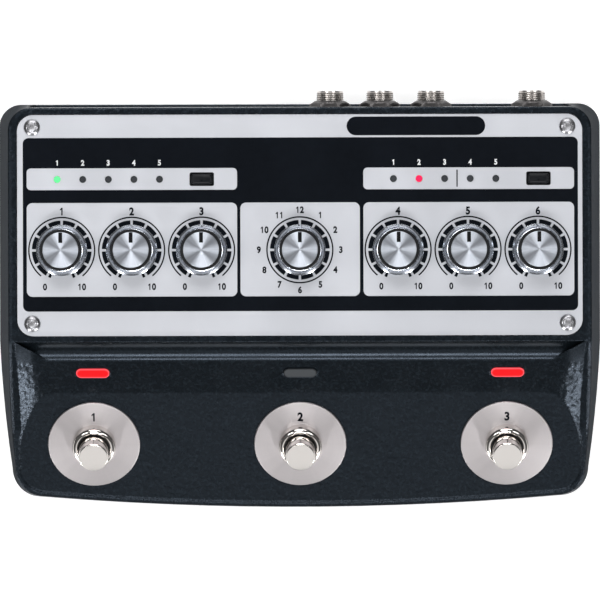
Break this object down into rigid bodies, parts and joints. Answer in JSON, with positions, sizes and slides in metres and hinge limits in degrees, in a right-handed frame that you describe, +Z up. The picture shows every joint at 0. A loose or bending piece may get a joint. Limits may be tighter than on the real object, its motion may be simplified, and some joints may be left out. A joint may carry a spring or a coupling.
{
  "type": "analog delay pedal",
  "caption": "Wide analog delay pedal: dished foot deck with domed foot-switches and pill lamps, raised face panel with a row of skirted knobs, and jacks on the rear edge.",
  "frame": {"origin": "under the middle of the pedal, at the level its feet stand on", "axes": "+X to the player's right, +Y to the rear, where the jacks are, +Z up"},
  "size_m": [0.192, 0.1324, 0.052],
  "materials": {
    "casing": "fine textured blue-black paint on a die casting",
    "base_steel": "black painted sheet steel",
    "panel": "satin silver sheet with black print",
    "polished_steel": "polished",
    "black_steel": "black oxide",
    "foot_rubber": "matt",
    "control_metal": "plated",
    "black_plastic": "matt",
    "button_plastic": "satin",
    "pale_plastic": "satin",
    "sleeve_plastic": "shrink sleeve",
    "knob_plastic": "black with a polished metal skirt",
    "spun_metal": "spun, with a black pointer line",
    "bright_nickel": "polished nickel",
    "satin_nickel": "satin nickel",
    "jack_plastic": "black with a bright threaded nose",
    "socket_steel": "tinned",
    "board_green": "solder mask",
    "brass_pillar": "turned",
    "green_lamp": "clear epoxy, lit green",
    "red_lamp": "clear epoxy, lit red",
    "dark_lamp": "clear epoxy, unlit",
    "lit_lens": "moulded lens, lit red",
    "dark_lens": "moulded lens, unlit"
  },
  "bodies": {
    "pedal": {"base_screws": "black_steel", "board_headers": "black_plastic", "board_stands": "brass_pillar", "bottom_plate": "base_steel", "capacitors": "sleeve_plastic", "dark_lamps": "dark_lamp", "dark_lens": "dark_lens", "data_socket": "socket_steel", "delay_chips": "black_plastic", "dress_nuts": "bright_nickel", "face_panel": "panel", "foot_tacts": "black_plastic", "green_lamp": "green_lamp", "jack_nuts": "bright_nickel", "lamp_chips": "pale_plastic", "link_jacks": "black_plastic", "lit_lenses": "lit_lens", "main_board": "board_green", "mode_switch": "control_metal", "panel_board": "board_green", "panel_screws": "polished_steel", "panel_tacts": "black_plastic", "phone_jacks": "jack_plastic", "potentiometers": "control_metal", "power_inlet": "black_plastic", "processor_chip": "black_plastic", "red_lamp": "red_lamp", "round_plates": "satin_nickel", "rubber_feet": "foot_rubber", "switch_boards": "board_green", "switch_housings": "black_plastic", "top_case": "casing"},
    "knob_set_1": {"knob_1": "knob_plastic", "knob_cap_1": "spun_metal", "shaft_1": "control_metal"},
    "knob_set_2": {"knob_2": "knob_plastic", "knob_cap_2": "spun_metal", "shaft_2": "control_metal"},
    "knob_set_3": {"knob_3": "knob_plastic", "knob_cap_3": "spun_metal", "shaft_3": "control_metal"},
    "knob_set_4": {"knob_4": "knob_plastic", "knob_cap_4": "spun_metal", "shaft_4": "control_metal"},
    "knob_set_5": {"knob_5": "knob_plastic", "knob_cap_5": "spun_metal", "shaft_5": "control_metal"},
    "knob_set_6": {"knob_6": "knob_plastic", "knob_cap_6": "spun_metal", "shaft_6": "control_metal"},
    "knob_set_7": {"knob_7": "knob_plastic", "knob_cap_7": "spun_metal", "shaft_7": "control_metal"},
    "button_1": {"panel_button_1": "button_plastic"},
    "button_2": {"panel_button_2": "button_plastic"},
    "foot_switch_1": {"plunger_1": "bright_nickel"},
    "foot_switch_2": {"plunger_2": "bright_nickel"},
    "foot_switch_3": {"plunger_3": "bright_nickel"}
  },
  "joints": [
    {"name": "knob_1_turn", "type": "hinge", "parent": "pedal", "child": "knob_set_1", "pos_m": [-0.0749, 0.0158, 0.045], "axis": [0, 0, 1], "range_deg": [-150, 150]},
    {"name": "knob_2_turn", "type": "hinge", "parent": "pedal", "child": "knob_set_2", "pos_m": [-0.0529, 0.0158, 0.045], "axis": [0, 0, 1], "range_deg": [-150, 150]},
    {"name": "knob_3_turn", "type": "hinge", "parent": "pedal", "child": "knob_set_3", "pos_m": [-0.0309, 0.0158, 0.045], "axis": [0, 0, 1], "range_deg": [-150, 150]},
    {"name": "knob_4_turn", "type": "hinge", "parent": "pedal", "child": "knob_set_4", "pos_m": [0, 0.0158, 0.045], "axis": [0, 0, 1], "continuous": true},
    {"name": "knob_5_turn", "type": "hinge", "parent": "pedal", "child": "knob_set_5", "pos_m": [0.0309, 0.0158, 0.045], "axis": [0, 0, 1], "range_deg": [-150, 150]},
    {"name": "knob_6_turn", "type": "hinge", "parent": "pedal", "child": "knob_set_6", "pos_m": [0.0529, 0.0158, 0.045], "axis": [0, 0, 1], "range_deg": [-150, 150]},
    {"name": "knob_7_turn", "type": "hinge", "parent": "pedal", "child": "knob_set_7", "pos_m": [0.0749, 0.0158, 0.045], "axis": [0, 0, 1], "range_deg": [-150, 150]},
    {"name": "button_1_press", "type": "slide", "parent": "pedal", "child": "button_1", "axis": [0, 0, -1], "range_m": [0, 0.0005], "stiffness_N_per_m": 2000},
    {"name": "button_2_press", "type": "slide", "parent": "pedal", "child": "button_2", "axis": [0, 0, -1], "range_m": [0, 0.0005], "stiffness_N_per_m": 2000},
    {"name": "foot_switch_1_press", "type": "slide", "parent": "pedal", "child": "foot_switch_1", "axis": [0, 0.4147, -0.91], "range_m": [0, 0.002], "stiffness_N_per_m": 3000},
    {"name": "foot_switch_2_press", "type": "slide", "parent": "pedal", "child": "foot_switch_2", "axis": [0, 0.4147, -0.91], "range_m": [0, 0.002], "stiffness_N_per_m": 3000},
    {"name": "foot_switch_3_press", "type": "slide", "parent": "pedal", "child": "foot_switch_3", "axis": [0, 0.4147, -0.91], "range_m": [0, 0.002], "stiffness_N_per_m": 3000}
  ]
}
